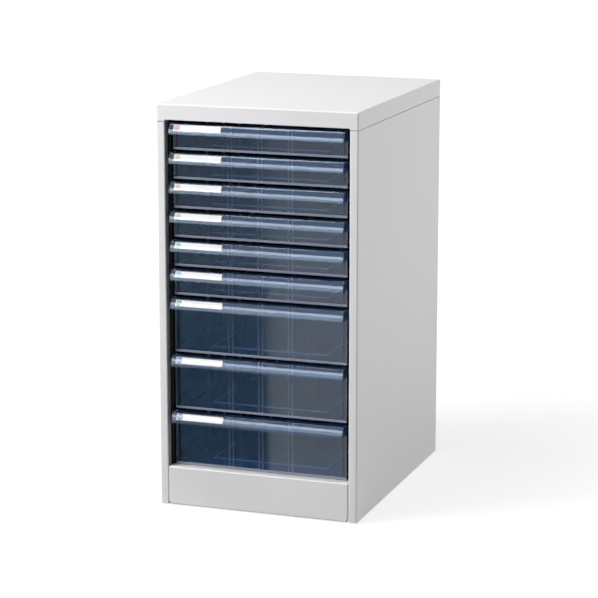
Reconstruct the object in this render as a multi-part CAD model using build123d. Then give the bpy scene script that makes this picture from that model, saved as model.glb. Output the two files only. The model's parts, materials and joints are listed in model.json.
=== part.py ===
"""Floor-standing steel cabinet with nine clear pull-out trays for large sheets of paper.

Sizes are in millimetres and +Z is up. The trays open towards -Y, and the origin is the centre of the
underside of the bounding box. Six shallow trays stand over three deep ones, and each slides on a pair
of steel runners that hook into four slotted posts.
"""
import math
import os

from build123d import *

# Case, from folded sheet steel
case_width = 357.0
case_depth = 480.0
case_height = 700.0
sheet = 1.0
bend_radius = 2.5  # outside of a fold
fold_middle_radius = bend_radius - sheet / 2
cap_skirt = 31.0
cap_front_skirt = 27.0  # over the opening the skirt is shorter
stile_width = 15.0
stile_return = 13.0
plinth_height = 70.0
plinth_depth = 18.0
plinth_side_gap = 0.2
plinth_relief_width = 3.0
plinth_relief_height = 4.0
side_flange = 13.0  # top and bottom flanges of a side panel
foot_height = 2.0
pan_flange = 15.0
pan_setback = 1.5  # behind the plinth
pan_side_gap = 0.2
back_edge_gap = 0.5  # clear of the inside of the folds

# Rear and cap fasteners, and the push-in glides
screw_head_radius = 3.6
screw_head_height = 1.6
screw_head_rounding = 0.6
screw_recess_length = 4.0
screw_recess_width = 1.0
screw_recess_depth = 0.8
screw_shank_radius = 1.9
screw_shank_length = 7.0
screw_hole_play = 0.2
screws_per_side = 4
screw_end_margin = 60.0
cap_screws_per_side = 3
cap_screw_end_margin = 105.0
glide_radius = 6.0
glide_stem_radius = 3.0
glide_stem_length = 8.0
glide_play = 0.1
glide_rounding = 0.6
glide_end_margin = 32.0

# Trays, moulded from clear plastic
shallow_trays = 6
deep_trays = 3
deep_units = 2  # a deep tray fills two pitches
bay_spare = 3.0  # what the opening has over the pitches
tray_gap_below = 1.0
tray_gap_above = 3.0
tray_side_gap = 12.5  # from the opening's edge to the tray's side wall
tray_setback = 16.0  # the front wall's outside, behind the case's front
front_side_gap = 8.5  # the front wall and its lip are wider than the tray
tray_rear_gap = 36.6
wall = 2.2
tray_corner_radius = 4.0
front_corner_radius = 1.5
rim_width = 2.6
rim_thickness = 2.4
slot_pitch_across = 54.0  # divider slots in the front and rear walls
slot_pitch_along = 78.0  # divider slots in the side walls
slots_per_wall = 3
slot_rib_spacing = 7.0
slot_rib_width = 1.6
slot_rib_reach = 2.6
slot_rib_top_gap = 4.0
bead_side_inset = 44.0  # raised bead on the floor, in from the walls
bead_end_inset = 45.0
bead_width = 3.0
bead_height = 1.2

# Finger lip along the top of a tray's front: a flat ledge, then a gently curved face
lip_ledge = 14.5
lip_height = 17.4
lip_face_radius = 45.0
lip_top_lean = 38.0  # degrees that the face leans back at its top
lip_corner_radius = 2.0

# Index card and clear window in the lip's left end. Heights are along the curved face
card_length = 84.5
card_height = 11.2
card_thickness = 0.3
window_thickness = 0.7
label_play = 0.05
label_edge = 1.2  # the window reaches this far past the card's ends
label_rim = 0.4  # and this far past its top and bottom
label_inset = 7.6
label_top_gap = 1.6  # from the lip's top corner

# Runners and posts
slide_gap = 0.3
ledge_under_tray = 11.0
runner_side_gap = 1.2
runner_web_height = 10.0
runner_setback = 3.0  # the front end, behind the tray's front wall
runner_nib_reach = 6.0
runner_nib_length = 8.0
runner_rear_stop_height = 8.0
runner_bend_radius = 1.0
hook_width = 10.0
hook_reach = 4.0
hook_play = 0.6
lug_width = 4.0
lug_length = 8.0
lug_height = 1.6
lug_side_gap = 1.0
stop_gap = 0.5
held_length = 87.4  # what the runners still hold when the tray is fully out
post_width = 50.0
post_foot = 8.0
post_inset = 3.5  # the post's face, inside the opening's edge
post_front_gap = 0.5  # behind the plinth
rear_post_setback = 62.0
post_bottom_gap = 0.3
post_top_gap = 3.0

# Places that follow from the sizes above
lip_centre_y = lip_face_radius * math.cos(math.radians(lip_top_lean)) - lip_ledge
lip_centre_drop = lip_face_radius * math.sin(math.radians(lip_top_lean))
lip_low_lean = math.degrees(math.asin((lip_centre_drop - lip_height) / lip_face_radius))
lip_reach = lip_face_radius * math.cos(math.radians(lip_low_lean)) - lip_centre_y
lip_proud = lip_reach - tray_setback
front_y = -(lip_proud + case_depth + screw_head_height) / 2 + lip_proud
back_y = front_y + case_depth
half_width = case_width / 2
opening_half = half_width - stile_width
cap_bottom = case_height - cap_skirt
opening_bottom = plinth_height
opening_top = case_height - cap_front_skirt
unit_count = shallow_trays + deep_units * deep_trays
pitch = (opening_top - opening_bottom - bay_spare) / unit_count
tray_half = opening_half - tray_side_gap
tray_width = 2 * tray_half
tray_front_y = front_y + tray_setback
tray_length = case_depth - tray_setback - tray_rear_gap
tray_count = shallow_trays + deep_trays
front_half = opening_half - front_side_gap
post_face_x = opening_half - post_inset
front_post_setback = plinth_depth + post_front_gap
ledge_inner_x = tray_half - ledge_under_tray
runner_front_y = tray_front_y + runner_setback
pan_top = plinth_height - sheet
pocket_depth = card_thickness + window_thickness + 2 * label_play
screw_x = half_width - stile_width / 2
screw_hole_radius = screw_shank_radius + screw_hole_play
travel = tray_length - held_length


def units_of(number):
    """How many pitches tray NUMBER fills, counting from the top."""
    return 1 if number <= shallow_trays else deep_units


def tray_bottom(number):
    """Height of the underside of tray NUMBER."""
    units_below = sum(units_of(n) for n in range(number + 1, tray_count + 1))
    return opening_bottom + units_below * pitch + tray_gap_below


def tray_height(units):
    return units * pitch - tray_gap_below - tray_gap_above


def block(x0, x1, y0, y1, z0, z1):
    """A box between two corners."""
    size = (x1 - x0, y1 - y0, z1 - z0)
    return Pos((x0 + x1) / 2, (y0 + y1) / 2, (z0 + z1) / 2) * Box(*size)


def rod(x, y, z0, z1, radius):
    """An upright cylinder between two heights."""
    return Pos(x, y, (z0 + z1) / 2) * Cylinder(radius, z1 - z0)


def spread(count, low, high):
    """COUNT places, evenly spaced from LOW to HIGH."""
    return [low + (high - low) * n / (count - 1) for n in range(count)]


def folded(points, radius):
    """A band of sheet along the middle line POINTS, with rounded folds."""
    return trace(FilletPolyline(*points, radius=radius), line_width=sheet)


def mirrored(shape):
    """The left-hand twin of a right-hand piece."""
    return mirror(shape, about=Plane.YZ)


def save(shape, name):
    """Writes one node, whose solids stay separate."""
    export_step(Compound(children=shape.solids()), f"parts/{name}.step")


# Case

def cap_screw_places():
    return spread(cap_screws_per_side, front_y + cap_screw_end_margin, back_y - cap_screw_end_margin)


def glide_places():
    return (front_y + glide_end_margin, back_y - glide_end_margin)


def back_screw_places():
    return spread(screws_per_side, opening_bottom + screw_end_margin, cap_bottom - screw_end_margin)


def right_side_panel():
    """Outer skin with a front stile that turns back into the case, and a rear flange."""
    middle = sheet / 2
    plan = [
        (opening_half + middle, front_y + stile_return),
        (opening_half + middle, front_y + middle),
        (half_width - middle, front_y + middle),
        (half_width - middle, back_y - middle),
        (half_width - stile_width, back_y - middle),
    ]
    skin = extrude(folded(plan, fold_middle_radius), amount=cap_bottom - foot_height)
    panel = Pos(0, 0, foot_height) * skin
    x0, x1 = half_width - sheet - side_flange, half_width - middle
    y0, y1 = front_y + bend_radius, back_y - bend_radius
    panel += block(x0 + sheet, x1, y0, y1, cap_bottom - sheet, cap_bottom)
    panel += block(x0 + sheet, x1, y0, y1, foot_height, foot_height + sheet)
    for y in cap_screw_places():
        panel -= rod(screw_x, y, cap_bottom - 2 * sheet, cap_bottom + sheet, screw_hole_radius)
    for y in glide_places():
        panel -= rod(screw_x, y, foot_height - sheet, foot_height + 2 * sheet,
                     glide_stem_radius + glide_play)
    for z in back_screw_places():
        hole = Cylinder(screw_hole_radius, 4 * sheet)
        panel -= Pos(screw_x, back_y, z) * Rot(90, 0, 0) * hole
    return panel


def top_cap():
    """Shallow inverted pan: top sheet, skirt all round and a flange turned in under it."""
    middle_z = (cap_bottom + case_height) / 2
    centre = Pos(0, (front_y + back_y) / 2, middle_z)
    outer = Box(case_width, case_depth, cap_skirt)
    outer = fillet(outer.edges(), bend_radius)
    inner = Box(case_width - 2 * sheet, case_depth - 2 * sheet, cap_skirt - 2 * sheet)
    inner = fillet(inner.edges(), bend_radius - sheet)
    cap = centre * (outer - inner)
    rim = sheet + side_flange
    cap -= block(rim - half_width, half_width - rim, front_y + rim, back_y - rim,
                 cap_bottom - sheet, cap_bottom + 2 * sheet)
    cap -= block(-opening_half, opening_half, front_y - sheet, front_y + 2 * rim,
                 cap_bottom - sheet, opening_top)
    cap += block(-opening_half, opening_half, front_y, front_y + rim, opening_top, opening_top + sheet)
    for side in (-1, 1):
        for y in cap_screw_places():
            cap -= rod(side * screw_x, y, cap_bottom - sheet, cap_bottom + 2 * sheet, screw_hole_radius)
    return cap


def plinth():
    """Kick plate under the opening, a shallow pan open to the rear, with relief notches at its foot."""
    half = opening_half - plinth_side_gap
    height = plinth_height - foot_height
    centre = Pos(0, front_y + plinth_depth / 2, foot_height + height / 2)
    outer = Box(2 * half, plinth_depth, height)
    front_edges = outer.edges().group_by(Axis.Y)[0]
    side_edges = outer.edges().filter_by(Axis.Y)
    outer = fillet(front_edges + side_edges, bend_radius)
    inner = Pos(0, sheet, 0) * Box(2 * half - 2 * sheet, plinth_depth, height - 2 * sheet)
    front_edges = inner.edges().group_by(Axis.Y)[0]
    side_edges = inner.edges().filter_by(Axis.Y)
    inner = fillet(front_edges + side_edges, bend_radius - sheet)
    plate = centre * (outer - inner)
    notch_top = foot_height + plinth_relief_height
    for side in (-1, 1):
        x0, x1 = sorted((side * (half - plinth_relief_width), side * (half + sheet)))
        plate -= block(x0, x1, front_y - sheet, front_y + plinth_depth + sheet, 0, notch_top)
    return plate


def bottom_pan():
    """Floor of the tray space, with its edges turned down."""
    x1 = half_width - sheet - pan_side_gap
    y0, y1 = front_y + plinth_depth + pan_setback, back_y - 2 * sheet
    z0 = pan_top - pan_flange
    pan = block(-x1, x1, y0, y1, z0, pan_top)
    return pan - block(sheet - x1, x1 - sheet, y0 + sheet, y1 - sheet, z0 - sheet, pan_top - sheet)


def back_panel():
    """Flat rear sheet, held against the rear flanges from inside."""
    x1 = half_width - bend_radius - back_edge_gap
    z0, z1 = foot_height + sheet + back_edge_gap, cap_bottom - sheet - back_edge_gap
    panel = block(-x1, x1, back_y - 2 * sheet, back_y - sheet, z0, z1)
    for side in (-1, 1):
        for z in back_screw_places():
            hole = Cylinder(screw_hole_radius, 6 * sheet)
            panel -= Pos(side * screw_x, back_y, z) * Rot(90, 0, 0) * hole
    return panel


def screw():
    """Pan-head screw with its seat at z = 0 and its shank along +Z."""
    head = Pos(0, 0, -screw_head_height / 2) * Cylinder(screw_head_radius, screw_head_height)
    head = fillet(head.edges().group_by(Axis.Z)[0], screw_head_rounding)
    for turn in (0, 90):
        recess = Box(screw_recess_length, screw_recess_width, screw_recess_depth)
        head -= Pos(0, 0, screw_recess_depth / 2 - screw_head_height) * Rot(0, 0, turn) * recess
    shank = Pos(0, 0, screw_shank_length / 2) * Cylinder(screw_shank_radius, screw_shank_length)
    return head + shank


def cap_screws():
    """Screws up through the side panels' top flanges into the cap."""
    one = screw()
    seat = cap_bottom - sheet
    places = cap_screw_places()
    return Part() + [Pos(side * screw_x, y, seat) * one for side in (-1, 1) for y in places]


def back_panel_screws():
    """Screws through the rear flanges into the back panel, with their heads outside."""
    one = Rot(90, 0, 0) * screw()
    heights = back_screw_places()
    return Part() + [Pos(side * screw_x, back_y, z) * one for side in (-1, 1) for z in heights]


def corner_glides():
    """Four plastic glides pushed up into the side panels' bottom flanges."""
    glide = rod(0, 0, 0, foot_height, glide_radius)
    glide = fillet(glide.edges().group_by(Axis.Z)[0], glide_rounding)
    glide += rod(0, 0, foot_height, glide_stem_length, glide_stem_radius)
    return Part() + [Pos(side * screw_x, y, 0) * glide for side in (-1, 1) for y in glide_places()]


# Posts and runners

def post_start(front):
    """Where a post's web begins, from front to rear."""
    return front_y + front_post_setback if front else back_y - rear_post_setback


def hook_height(bottom):
    """Underside of the hook of a runner whose tray has its underside at BOTTOM."""
    return bottom - slide_gap + runner_web_height - sheet


def right_post(front):
    """Channel with a slot for each pitch, its feet against the side panel."""
    middle = sheet / 2
    y0 = post_start(front)
    y1 = y0 + post_width
    foot_x, face_x = half_width - sheet - middle, post_face_x + middle
    plan = [
        (foot_x, y0 - post_foot),
        (foot_x, y0 + middle),
        (face_x, y0 + middle),
        (face_x, y1 - middle),
        (foot_x, y1 - middle),
        (foot_x, y1 + post_foot),
    ]
    z0, z1 = pan_top + post_bottom_gap, cap_bottom - sheet - post_top_gap
    post = Pos(0, 0, z0) * extrude(folded(plan, fold_middle_radius), amount=z1 - z0)
    slot_y = (y0 + y1) / 2
    half_slot = hook_width / 2 + hook_play
    for unit in range(unit_count):
        bottom = opening_bottom + unit * pitch + tray_gap_below
        z = hook_height(bottom)
        post -= block(post_face_x - sheet, post_face_x + 2 * sheet,
                      slot_y - half_slot, slot_y + half_slot, z - hook_play, z + sheet + hook_play)
    return post


def right_runner(bottom):
    """Ledge under the tray, a web beside it and a flange that hooks into both posts."""
    middle = sheet / 2
    top = bottom - slide_gap
    web_x = tray_half + runner_side_gap + middle
    flange_z = hook_height(bottom) + middle
    section = [
        (ledge_inner_x, top - middle),
        (web_x, top - middle),
        (web_x, flange_z),
        (post_face_x, flange_z),
    ]
    rear_y = tray_front_y + tray_length + stop_gap
    length = rear_y + sheet - runner_front_y
    profile = Plane.XZ * folded(section, runner_bend_radius)
    runner = Pos(0, runner_front_y, 0) * extrude(profile, amount=-length)
    runner += block(ledge_inner_x - runner_nib_reach, ledge_inner_x + sheet, runner_front_y,
                    runner_front_y + runner_nib_length, top - sheet, top)
    runner += block(ledge_inner_x, tray_half - sheet, rear_y, rear_y + sheet,
                    top - sheet, top + runner_rear_stop_height)
    for front in (True, False):
        y = post_start(front) + post_width / 2
        runner += block(post_face_x - sheet, post_face_x + hook_reach,
                        y - hook_width / 2, y + hook_width / 2, flange_z - middle, flange_z + middle)
    return runner


# Trays. A tray stands with its underside at z = 0 and its front wall's outside at y = 0

def lip_disc(top, offset):
    """The disc whose edge is the lip's face, in section (y, z), OFFSET outside it."""
    return Pos(lip_centre_y, top - lip_centre_drop) * Circle(lip_face_radius + offset)


def lip_section(top, filled):
    """Lip in section, (y, z): a ledge and a curved face. FILLED gives the end walls."""
    reach = 2 * lip_reach
    outside = Pos(wall / 2 - reach / 2, top - lip_height / 2) * Rectangle(reach, lip_height)
    outside &= lip_disc(top, 0)
    corner = outside.vertices().sort_by_distance((-lip_ledge, top, 0))[0]
    outside = fillet(corner, lip_corner_radius)
    if filled:
        return outside
    inside = Pos(wall - reach / 2, top - wall - lip_height / 2) * Rectangle(reach, lip_height)
    return outside - (inside & lip_disc(top, -wall))


def lip_band(top, first, last, outside, inside):
    """Section between two curves beside the lip's face. FIRST and LAST are lengths down the face."""
    start = 180 - lip_top_lean + math.degrees(first / lip_face_radius)
    size = math.degrees((last - first) / lip_face_radius)
    centre = (lip_centre_y, top - lip_centre_drop)
    far, near = [CenterArc(centre, lip_face_radius + offset, start, size) for offset in (outside, inside)]
    return make_face([far, near, Line(far @ 0, near @ 0), Line(far @ 1, near @ 1)])


def front_plate(height):
    """Front wall, which reaches past the side walls and hides the runners."""
    plate = block(-front_half, front_half, 0, wall, 0, height)
    corners = plate.edges().filter_by(Axis.Z).group_by(Axis.Y)[0]
    return fillet(corners, front_corner_radius)


def across(section, x0, x1):
    """A (y, z) section drawn out along X."""
    return Pos(x0, 0, 0) * extrude(Plane.YZ * section, amount=x1 - x0)


def label_strip(top, outside, inside, end_gap, edge_gap):
    """A curved strip in the label pocket, END_GAP shorter at each end and EDGE_GAP at top and bottom."""
    x0 = -front_half + label_inset
    x1 = x0 + card_length + 2 * (label_edge + label_play)
    first = label_top_gap + edge_gap
    last = label_top_gap + card_height + 2 * (label_rim + label_play) - edge_gap
    return across(lip_band(top, first, last, outside, inside), x0 + end_gap, x1 - end_gap)


def index_card(units):
    low = label_play - pocket_depth
    return label_strip(tray_height(units), low + card_thickness, low,
                       label_edge + label_play, label_rim + label_play)


def label_window(units):
    return label_strip(tray_height(units), 0, -window_thickness, label_play, label_play)


def slot_ribs(height):
    """Pairs of upright ribs that hold a divider, three pairs on each wall."""
    inner_half = tray_half - wall
    inner_rear = tray_length - wall
    z0, z1 = wall / 2, height - slot_rib_top_gap
    ribs = []
    for slot in range(slots_per_wall):
        step = slot - (slots_per_wall - 1) / 2
        for side in (-1, 1):
            x = step * slot_pitch_across + side * slot_rib_spacing / 2
            y = tray_length / 2 + step * slot_pitch_along + side * slot_rib_spacing / 2
            x0, x1 = x - slot_rib_width / 2, x + slot_rib_width / 2
            y0, y1 = y - slot_rib_width / 2, y + slot_rib_width / 2
            ribs.append(block(x0, x1, wall / 2, wall + slot_rib_reach, z0, z1))
            ribs.append(block(x0, x1, inner_rear - slot_rib_reach, inner_rear + wall / 2, z0, z1))
            ribs.append(block(-tray_half + wall / 2, slot_rib_reach - inner_half, y0, y1, z0, z1))
            ribs.append(block(inner_half - slot_rib_reach, tray_half - wall / 2, y0, y1, z0, z1))
    return ribs


def tray(units):
    """Open tray with a wide front, a finger lip, divider slots, a floor bead, a rim and two stop lugs."""
    height = tray_height(units)
    middle_y = tray_length / 2
    outline = RectangleRounded(tray_width, tray_length, tray_corner_radius)
    hollow = RectangleRounded(tray_width - 2 * wall, tray_length - 2 * wall, tray_corner_radius - wall)
    body = extrude(outline, amount=height) - Pos(0, 0, wall) * extrude(hollow, amount=height)

    rim_outline = RectangleRounded(tray_width + 2 * rim_width, tray_length + 2 * rim_width,
                                   tray_corner_radius + rim_width)
    rim_outline -= RectangleRounded(tray_width - wall, tray_length - wall, tray_corner_radius)
    rim = extrude(rim_outline, amount=rim_thickness)
    rim = Pos(0, 0, height - rim_thickness) * rim
    rim -= block(-case_width, case_width, -case_depth, wall - middle_y, 0, 2 * height)
    body += rim

    bead_half = tray_half - wall - bead_side_inset
    bead_length = tray_length - 2 * (wall + bead_end_inset)
    bead = Rectangle(2 * bead_half, bead_length)
    bead -= Rectangle(2 * bead_half - 2 * bead_width, bead_length - 2 * bead_width)
    body += Pos(0, 0, wall / 2) * extrude(bead, amount=wall / 2 + bead_height)
    body = Pos(0, middle_y, 0) * body
    body += slot_ribs(height)
    body += front_plate(height)

    body += across(lip_section(height, filled=False), -front_half, front_half)
    end_wall = lip_section(height, filled=True)
    body += across(end_wall, -front_half, wall - front_half)
    body += across(end_wall, front_half - wall, front_half)
    body -= label_strip(height, 2 * window_thickness, -pocket_depth, 0, 0)

    lug_y = runner_front_y - tray_front_y + runner_nib_length + travel + stop_gap
    lug_x = ledge_inner_x - lug_side_gap
    for side in (-1, 1):
        x0, x1 = sorted((side * (lug_x - lug_width), side * lug_x))
        body += block(x0, x1, lug_y, lug_y + lug_length, -lug_height, wall / 2)
    return body


def main():
    os.makedirs("parts", exist_ok=True)
    side_panel = right_side_panel()
    save(side_panel, "right_side_panel")
    save(mirrored(side_panel), "left_side_panel")
    save(top_cap(), "top_cap")
    save(plinth(), "kick_plate")
    save(bottom_pan(), "bottom_pan")
    save(back_panel(), "back_panel")
    save(cap_screws(), "cap_screws")
    save(back_panel_screws(), "back_panel_screws")
    save(corner_glides(), "corner_glides")
    for front in (True, False):
        place = "front" if front else "rear"
        post = right_post(front)
        save(post, f"right_{place}_post")
        save(mirrored(post), f"left_{place}_post")
    shapes = {units: (tray(units), index_card(units), label_window(units)) for units in (1, deep_units)}
    for number in range(1, tray_count + 1):
        bottom = tray_bottom(number)
        runner = right_runner(bottom)
        save(runner, f"right_runner_{number}")
        save(mirrored(runner), f"left_runner_{number}")
        place = Pos(0, tray_front_y, bottom)
        names = ("tray", "index_card", "label_window")
        for name, shape in zip(names, shapes[units_of(number)]):
            save(place * shape, f"{name}_{number}")
    print(f"pitch {pitch:.2f}, travel {travel:.2f}, front_y {front_y:.2f}, lip_proud {lip_proud:.2f}")


if __name__ == "__main__":
    main()
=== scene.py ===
"""Dresses the tray cabinet: a painted steel case, clear smoke-blue trays, index cards and a studio."""

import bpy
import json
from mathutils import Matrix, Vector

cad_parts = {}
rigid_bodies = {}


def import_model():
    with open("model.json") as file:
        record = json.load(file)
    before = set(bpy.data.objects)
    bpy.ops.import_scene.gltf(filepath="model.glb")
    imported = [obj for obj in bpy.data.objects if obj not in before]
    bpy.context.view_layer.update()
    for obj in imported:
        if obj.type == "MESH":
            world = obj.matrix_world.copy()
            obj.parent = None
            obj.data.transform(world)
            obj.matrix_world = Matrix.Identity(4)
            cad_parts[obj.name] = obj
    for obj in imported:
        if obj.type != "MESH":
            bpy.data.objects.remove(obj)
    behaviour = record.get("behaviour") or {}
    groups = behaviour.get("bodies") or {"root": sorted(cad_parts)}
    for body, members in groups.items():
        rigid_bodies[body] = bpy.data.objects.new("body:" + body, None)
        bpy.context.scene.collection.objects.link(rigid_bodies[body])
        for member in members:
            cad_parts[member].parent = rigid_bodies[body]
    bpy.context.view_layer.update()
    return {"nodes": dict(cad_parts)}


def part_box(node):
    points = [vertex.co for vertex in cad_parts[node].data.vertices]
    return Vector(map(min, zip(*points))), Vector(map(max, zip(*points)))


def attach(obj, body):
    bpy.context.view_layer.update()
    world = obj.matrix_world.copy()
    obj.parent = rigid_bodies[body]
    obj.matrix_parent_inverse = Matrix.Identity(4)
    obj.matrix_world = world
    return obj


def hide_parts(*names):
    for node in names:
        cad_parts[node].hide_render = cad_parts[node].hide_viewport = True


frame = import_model()

import json
import math

import bmesh
import bpy
from bpy.props import FloatProperty, FloatVectorProperty, IntProperty, PointerProperty
from bpy.types import Operator, Panel, PropertyGroup
from mathutils import Matrix, Vector

bl_info = {
    "name": "Tray Cabinet",
    "version": (1, 0, 0),
    "blender": (4, 5, 0),
    "location": "3D View > Sidebar > Tray Cabinet",
    "description": "Finishes a steel cabinet with clear pull-out trays and lights it in a plain studio",
    "category": "Object",
}

MM = 0.001
HAIR = 0.02 * MM  # too small to see
TRAYS = [n for n in range(1, len(frame["nodes"])) if f"tray_{n}" in frame["nodes"]]
CASE_SHEETS = ("left_side_panel", "right_side_panel", "top_cap", "kick_plate", "bottom_pan", "back_panel")
POSTS = ("left_front_post", "right_front_post", "left_rear_post", "right_rear_post")
SPOT_COLOURS = (
    (0.53, 0.28, 0.42),
    (0.54, 0.48, 0.37),
    (0.57, 0.47, 0.42),
    (0.54, 0.50, 0.42),
    (0.30, 0.43, 0.47),
    (0.30, 0.46, 0.47),
    (0.18, 0.32, 0.34),
    (0.05, 0.12, 0.32),
    (0.05, 0.12, 0.30),
)
SPOT_INSET = 0.4 * MM  # from the card's end to the spot
SPOT_BLUR = 0.25 * MM
DIGIT_SHARE = 0.72  # of the font's size
DIGIT_STRIP = 0.6 * MM  # a digit is cut into strips this high, so that it bends with the card
DIGIT_CUTS = 6  # above and below its middle
LUG_ROUNDING = 0.4 * MM
BEAD_ROUNDING = 0.4  # of the bead's height
RIB_ROUNDING = 0.28  # of a rib's width
SCREW = {"head": 3.6 * MM, "depth": 1.6 * MM, "shank": 1.9 * MM, "reach": 7.0 * MM}
LAMP_AIM = (0, 0, 0.35)
LAMPS = {  # place, width, depth
    "key": ((-1.10, -0.75, 3.40), 1.8, 1.3),
    "fill": ((2.80, 0.70, 1.30), 1.8, 1.8),
    "side": ((-2.10, -1.60, 1.70), 1.4, 1.4),
    "strip": ((-0.85, -2.10, 1.80), 1.1, 0.45),
    "low_strip": ((-0.85, -2.10, 1.25), 1.1, 0.60),
}


# Settings that a user would change

def length(name, description, millimetres):
    return FloatProperty(name=name, description=description, default=millimetres * MM, min=0.0,
                         subtype="DISTANCE", unit="LENGTH", precision=5)


def share(name, description, default):
    return FloatProperty(name=name, description=description, default=default, min=0.0, max=1.0,
                         subtype="FACTOR")


def colour(name, description, default):
    return FloatVectorProperty(name=name, description=description, default=default, min=0.0, max=1.0,
                               size=3, subtype="COLOR")


def power(name, description, watts):
    return FloatProperty(name=name, description=description, default=watts, min=0.0, unit="POWER")


def position(name, description, default):
    return FloatVectorProperty(name=name, description=description, default=default, size=3,
                               subtype="TRANSLATION", unit="LENGTH")


class CaseSettings(PropertyGroup):
    """Paint and metal of the case."""
    paint: colour("Paint", "Colour of the powder coat", (0.70, 0.70, 0.71))
    paint_roughness: share("Paint Roughness", "How matt the powder coat is", 0.36)
    grain: length("Paint Grain", "Size of the powder coat's orange peel", 0.9)
    # Near-black: the frame's own paint, with the shade inside the case painted into it.
    frame_paint: colour("Frame Paint", "Colour of the posts and runners", (0.012, 0.012, 0.014))
    plating: colour("Plating", "Colour of the screws", (0.60, 0.60, 0.58))
    glide: colour("Glide", "Colour of the plastic glides", (0.020, 0.020, 0.022))


class TraySettings(PropertyGroup):
    """Shape and plastic of the trays."""
    wall: length("Wall", "Thickness of the moulded wall", 2.2)
    corner: length("Corner", "Outside radius of the upright corners", 4.0)
    heel: length("Heel", "Radius along the bottom edge, outside", 1.6)
    hollow_heel: length("Hollow Heel", "Radius where the floor meets the walls, inside", 4.0)
    rim_width: length("Rim Width", "How far the rim stands out from the walls", 2.6)
    rim_thickness: length("Rim Thickness", "Thickness of the rim", 2.4)
    edge: length("Edge", "Rounding of the moulded edges", 0.6)
    lip_ledge: length("Lip Ledge", "Flat ledge between the front wall and the lip's face", 14.5)
    lip_height: length("Lip Height", "Height of the lip", 17.4)
    lip_radius: length("Lip Face Radius", "Radius of the curve of the lip's face", 45.0)
    lip_corner: length("Lip Corner", "Radius between the ledge and the face", 2.0)
    lip_lean: FloatProperty(name="Lip Lean", description="How far the lip's face leans back at its top",
                            default=math.radians(38), subtype="ANGLE")
    edge_band: length("Edge Band", "Height of the frosted band along the bottom of the front", 4.2)
    side_band: length("Side Band", "Height of the frosted band along the bottom of the other walls", 2.6)
    lug_height: length("Lug Height", "How far the stop lugs hang below the floor", 1.6)
    slots: IntProperty(name="Divider Slots", description="Divider slots in each wall", default=3, min=1)
    slot_across: length("Slot Pitch Across", "Spacing of the slots in the front and rear walls", 54.0)
    slot_along: length("Slot Pitch Along", "Spacing of the slots in the side walls", 78.0)
    rib_spacing: length("Rib Spacing", "Distance between a slot's two ribs", 7.0)
    rib_width: length("Rib Width", "Width of a rib", 1.6)
    rib_reach: length("Rib Reach", "How far a rib stands out from the wall", 2.6)
    rib_top_gap: length("Rib Top Gap", "From a rib's top to the tray's top", 4.0)
    bead_side: length("Bead Side Inset", "From the side walls to the floor's bead", 44.0)
    bead_end: length("Bead End Inset", "From the end walls to the floor's bead", 45.0)
    bead_width: length("Bead Width", "Width of the floor's bead", 3.0)
    bead_height: length("Bead Height", "Height of the floor's bead", 1.2)
    tint: colour("Tint", "Colour of the clear plastic", (0.23, 0.46, 0.79))
    lamp_tint: colour("Lamp Tint", "What each face of the plastic leaves of lamp light that passes it",
                      (0.62, 0.65, 0.70))
    rib_colour: colour("Ribs", "Colour of the frosted ribs", (0.88, 0.81, 0.83))
    edge_colour: colour("Edges", "Colour of the frosted edges", (0.38, 0.39, 0.47))
    roughness: share("Plastic Roughness", "How dull the clear plastic is", 0.05)


class CardSettings(PropertyGroup):
    """Index cards and the windows over them."""
    inset: length("Inset", "From the lip's end to the label pocket", 7.6)
    card: length("Card Length", "Length of an index card", 84.5)
    card_height: length("Card Height", "Height of an index card along the lip's face", 11.2)
    edge: length("Window Edge", "How far the window reaches past the card's ends", 1.2)
    rim: length("Window Rim", "How far the window reaches past the card's top and bottom", 0.4)
    top_gap: length("Top Gap", "From the lip's top corner down to the label pocket", 1.6)
    play: length("Play", "Gap round the card and the window", 0.05)
    card_thickness: length("Card Thickness", "Thickness of an index card", 0.3)
    window_thickness: length("Window Thickness", "Thickness of the clear window", 0.7)
    spot: length("Spot Width", "Width of the coloured spot", 11.2)
    digit: length("Digit Height", "Height of the number on the spot", 5.4)
    paper: colour("Paper", "Colour of the card", (0.72, 0.72, 0.715))
    ink: colour("Ink", "Colour of the number", (0.22, 0.21, 0.20))


for number in TRAYS:
    CardSettings.__annotations__[f"spot_{number}"] = colour(
        f"Spot {number}", f"Colour of the spot on card {number}",
        SPOT_COLOURS[(number - 1) % len(SPOT_COLOURS)])


class StageSettings(PropertyGroup):
    """Floor, lamps and camera."""
    floor: length("Floor", "Width of the floor", 30000.0)
    ambient: FloatProperty(name="Ambient", description="Strength of the soft light from all round",
                           default=0.08, min=0.0)
    key: power("Key", "Power of the large lamp overhead", 50.0)
    fill: power("Fill", "Power of the lamp on the right", 48.0)
    side: power("Side", "Power of the large lamp on the left", 88.0)
    strip: power("Strip", "Power of the strip that shows in the lips", 7.9)
    low_strip: power("Low Strip", "Power of the fainter lamp below the strip", 3.9)
    # These settings place the mat, a painted reflection: a glowing sheet that only gloss sees.
    mat_edge: FloatProperty(name="Mat Edge", description="Where the mat's edge shows in the trays' fronts",
                            default=15 * MM, subtype="DISTANCE", unit="LENGTH")
    mat_start: length("Mat Start", "From the cabinet's middle to the mat", 300.0)
    mat_end: length("Mat End", "From the cabinet's middle to the mat's far end", 6000.0)
    mat_width: length("Mat Width", "Width of the dark mat on the floor", 1800.0)
    lens: FloatProperty(name="Lens", description="Focal length", default=141.1, min=1.0, unit="CAMERA")
    eye: position("Eye", "Where the camera stands", (1.3493, -3.8422, 1.2092))
    aim: position("Aim", "What the camera looks at", (0.0049, -0.0370, 0.3366))


# Node helpers

def with_settings(thing, **settings):
    for key, value in settings.items():
        setattr(thing, key, value)
    return thing


def add_node(tree, kind, **settings):
    """A new node, with its properties set by name."""
    return with_settings(tree.nodes.new(kind), **settings)


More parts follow.
